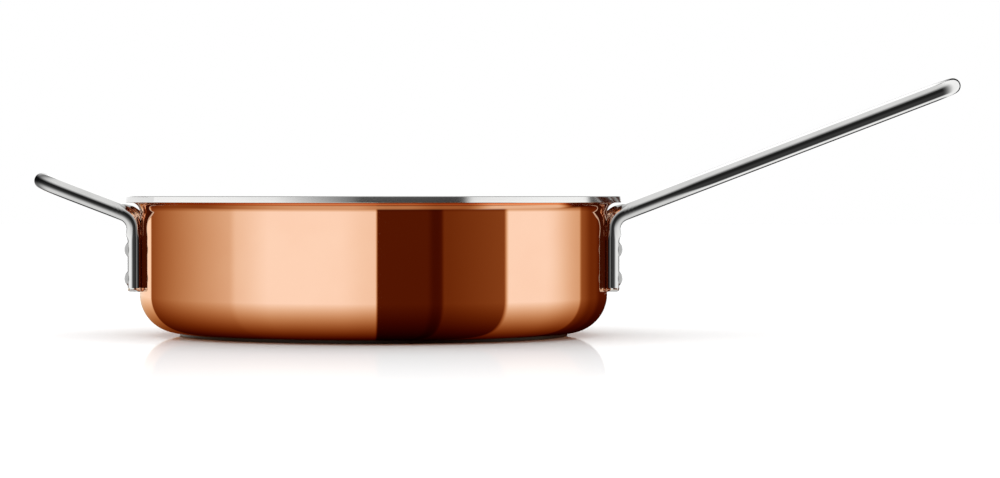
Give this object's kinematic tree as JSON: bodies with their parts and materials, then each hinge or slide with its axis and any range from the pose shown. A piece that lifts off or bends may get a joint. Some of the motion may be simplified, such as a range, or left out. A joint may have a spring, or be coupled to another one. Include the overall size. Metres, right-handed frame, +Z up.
{
  "type": "saute pan with lid",
  "caption": "Low straight-sided saute pan in copper-clad metal with bent-bar loop handles, long and short, and a flat lift-off steel lid with a sunken fold-flat bail.",
  "frame": {"origin": "centre of the underside of the base plate, on the surface the pan stands on", "axes": "+Z up, +X from the pan's axis along the long handle, +Y to the right of somebody who holds the long handle and looks at the pan"},
  "size_m": [0.4855, 0.259, 0.1345],
  "materials": {
    "copper": "mirror polished copper",
    "core_aluminium": "plain",
    "liner_steel": "satin, spun in rings",
    "base_steel": "fine turned rings",
    "polished_steel": "polished stainless steel",
    "rivet_steel": "satin",
    "lid_steel": "polished edge, fine spun top"
  },
  "bodies": {
    "pan": {"copper_shell": "copper", "aluminium_core": "core_aluminium", "steel_liner": "liner_steel", "base_plate": "base_steel", "long_handle": "polished_steel", "long_handle_rivets": "rivet_steel", "helper_handle": "polished_steel", "helper_handle_rivets": "rivet_steel"},
    "lid": {"lid_plate": "lid_steel", "lid_lug_front": "lid_steel", "lid_lug_rear": "lid_steel", "lid_lug_rivets": "rivet_steel"},
    "bail": {"lid_bail": "polished_steel"}
  },
  "joints": [
    {"name": "lid_lift", "type": "slide", "parent": "pan", "child": "lid", "axis": [0, 0, 1], "range_m": [0, 0.12]},
    {"name": "bail_swing", "type": "hinge", "parent": "lid", "child": "bail", "pos_m": [0, 0, 0.066], "axis": [0, -1, 0], "range_deg": [0, 189.5]}
  ]
}
